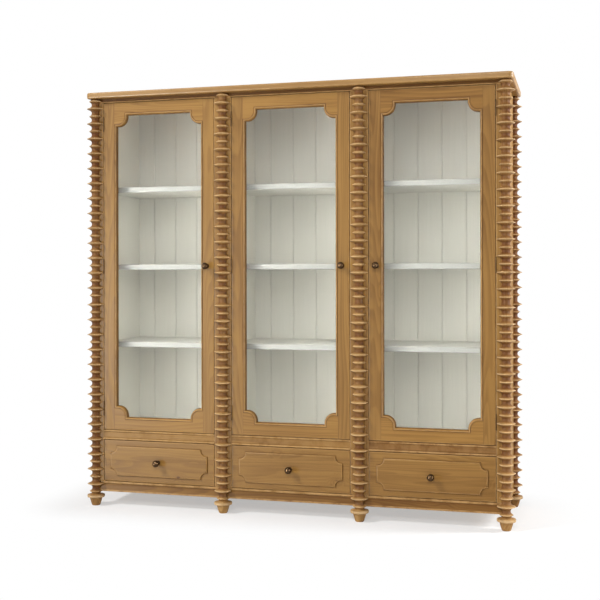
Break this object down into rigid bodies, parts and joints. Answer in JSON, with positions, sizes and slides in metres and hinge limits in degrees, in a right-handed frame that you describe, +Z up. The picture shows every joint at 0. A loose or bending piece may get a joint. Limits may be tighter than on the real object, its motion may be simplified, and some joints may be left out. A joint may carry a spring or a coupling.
{
  "type": "glass door bookcase",
  "caption": "Wide waxed-pine bookcase with spool-turned columns, glazed hinged doors over panelled drawers, painted shelves inside and turned feet.",
  "frame": {"origin": "on the floor, under the middle of the overall box", "axes": "+X to the viewer's right, the front faces -Y, +Z up"},
  "size_m": [2.156, 0.6082, 2.105],
  "materials": {
    "waxed_pine": "honey waxed pine, satin",
    "painted_interior": "pale grey eggshell paint on boards",
    "drawer_pine": "raw pine",
    "dark_bronze": "dark bronzed brass",
    "clear_glass": "clear float glass"
  },
  "bodies": {
    "carcass": {"top_board": "waxed_pine", "frieze_rail": "waxed_pine", "base_rail": "waxed_pine", "base_floor": "drawer_pine", "back_panel": "painted_interior", "left_side_panel": "waxed_pine", "right_side_panel": "waxed_pine", "left_partition": "painted_interior", "right_partition": "painted_interior", "front_left_stile": "waxed_pine", "centre_left_stile": "waxed_pine", "centre_right_stile": "waxed_pine", "front_right_stile": "waxed_pine", "front_left_column": "waxed_pine", "centre_left_column": "waxed_pine", "centre_right_column": "waxed_pine", "front_right_column": "waxed_pine", "rear_left_column": "waxed_pine", "rear_right_column": "waxed_pine", "left_bay_floor": "painted_interior", "centre_bay_floor": "painted_interior", "right_bay_floor": "painted_interior", "left_lower_shelf": "painted_interior", "left_middle_shelf": "painted_interior", "left_upper_shelf": "painted_interior", "centre_lower_shelf": "painted_interior", "centre_middle_shelf": "painted_interior", "centre_upper_shelf": "painted_interior", "right_lower_shelf": "painted_interior", "right_middle_shelf": "painted_interior", "right_upper_shelf": "painted_interior", "left_door_lower_hinge": "dark_bronze", "left_door_middle_hinge": "dark_bronze", "left_door_upper_hinge": "dark_bronze", "centre_door_lower_hinge": "dark_bronze", "centre_door_middle_hinge": "dark_bronze", "centre_door_upper_hinge": "dark_bronze", "right_door_lower_hinge": "dark_bronze", "right_door_middle_hinge": "dark_bronze", "right_door_upper_hinge": "dark_bronze"},
    "left_door": {"left_door_frame": "waxed_pine", "left_door_glass": "clear_glass", "left_door_knob": "dark_bronze"},
    "left_drawer": {"left_drawer_front": "waxed_pine", "left_drawer_box": "drawer_pine", "left_drawer_knob": "dark_bronze"},
    "centre_door": {"centre_door_frame": "waxed_pine", "centre_door_glass": "clear_glass", "centre_door_knob": "dark_bronze"},
    "centre_drawer": {"centre_drawer_front": "waxed_pine", "centre_drawer_box": "drawer_pine", "centre_drawer_knob": "dark_bronze"},
    "right_door": {"right_door_frame": "waxed_pine", "right_door_glass": "clear_glass", "right_door_knob": "dark_bronze"},
    "right_drawer": {"right_drawer_front": "waxed_pine", "right_drawer_box": "drawer_pine", "right_drawer_knob": "dark_bronze"}
  },
  "joints": [
    {"name": "left_door_hinge", "type": "hinge", "parent": "carcass", "child": "left_door", "pos_m": [-0.98775, -0.25325, 1.2205], "axis": [0, 0, -1], "range_deg": [0, 110]},
    {"name": "left_drawer_slide", "type": "slide", "parent": "carcass", "child": "left_drawer", "axis": [0, -1, 0], "range_m": [0, 0.3]},
    {"name": "centre_door_hinge", "type": "hinge", "parent": "carcass", "child": "centre_door", "pos_m": [-0.29875, -0.25325, 1.2205], "axis": [0, 0, -1], "range_deg": [0, 110]},
    {"name": "centre_drawer_slide", "type": "slide", "parent": "carcass", "child": "centre_drawer", "axis": [0, -1, 0], "range_m": [0, 0.3]},
    {"name": "right_door_hinge", "type": "hinge", "parent": "carcass", "child": "right_door", "pos_m": [0.98775, -0.25325, 1.2205], "axis": [0, 0, 1], "range_deg": [0, 110]},
    {"name": "right_drawer_slide", "type": "slide", "parent": "carcass", "child": "right_drawer", "axis": [0, -1, 0], "range_m": [0, 0.3]}
  ]
}
